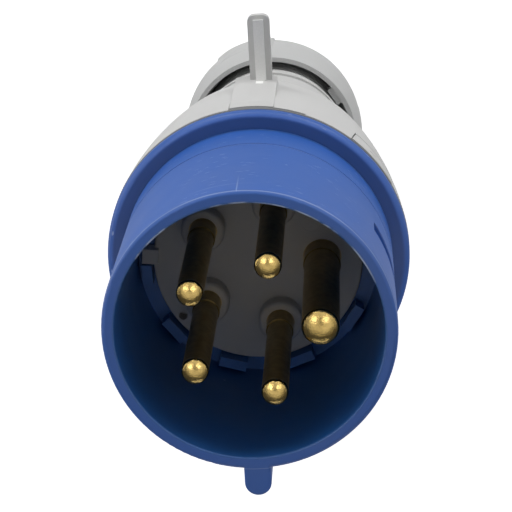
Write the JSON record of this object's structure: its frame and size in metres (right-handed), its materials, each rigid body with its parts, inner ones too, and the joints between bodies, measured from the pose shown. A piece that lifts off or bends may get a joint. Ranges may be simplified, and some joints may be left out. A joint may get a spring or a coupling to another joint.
{
  "type": "industrial pin and sleeve plug",
  "caption": "Round industrial power plug with pins in a keyed blue sleeve, a tapering grey housing with a lid hook, and a cable gland nut at its rear end.",
  "frame": {"origin": "on the plug's axis, in the flat rear face of the gland nut that it stands on", "axes": "+Z along the plug's axis to its mouth, +Y to the hook for a socket's lid, -Y to the sleeve's key, +X to the earth pin"},
  "size_m": [0.0612, 0.0763, 0.158],
  "materials": {
    "blue_plastic": "fine satin, moulded",
    "grey_plastic": "fine satin, moulded",
    "nut_plastic": "fine satin, moulded",
    "insert_plastic": "matt, glass filled",
    "inner_plastic": "matt",
    "seal_rubber": "matt",
    "black_rubber": "matt",
    "pin_brass": "turned, bright",
    "leaf_brass": "rolled, dull",
    "screw_steel": "zinc plated"
  },
  "bodies": {
    "plug": {"sleeve": "blue_plastic", "contact_carrier": "insert_plastic", "pin_retainer": "insert_plastic", "retainer_screw": "screw_steel", "flange_seal": "seal_rubber", "housing": "grey_plastic", "clamping_cage": "inner_plastic", "cable_seal": "black_rubber", "earth_pin": "pin_brass", "pin_l1": "pin_brass", "pin_l2": "pin_brass", "pin_l3": "pin_brass", "neutral_pin": "pin_brass", "earth_leaf": "leaf_brass", "leaf_l1": "leaf_brass", "leaf_l2": "leaf_brass", "leaf_l3": "leaf_brass", "neutral_leaf": "leaf_brass", "earth_screw": "screw_steel", "screw_l1": "screw_steel", "screw_l2": "screw_steel", "screw_l3": "screw_steel", "neutral_screw": "screw_steel"},
    "lock": {"lock_button": "grey_plastic"},
    "gland_ring": {"pressure_ring": "inner_plastic"},
    "nut": {"gland_nut": "nut_plastic"}
  },
  "joints": [
    {"name": "lock_press", "type": "slide", "parent": "plug", "child": "lock", "axis": [-0.788, -0.6157, 0], "range_m": [0, 0.0029], "stiffness_N_per_m": 1500},
    {"name": "gland_travel", "type": "slide", "parent": "plug", "child": "gland_ring", "axis": [0, 0, -1], "range_m": [0, 0.009]},
    {"name": "gland_turn", "type": "hinge", "parent": "gland_ring", "child": "nut", "pos_m": [0, 0, 0.012], "axis": [0, 0, -1], "range_deg": [0, 1080]}
  ],
  "couplings": [
    {"joint": "gland_travel", "follows": "gland_turn", "m_per_rad": 0.00047746}
  ]
}
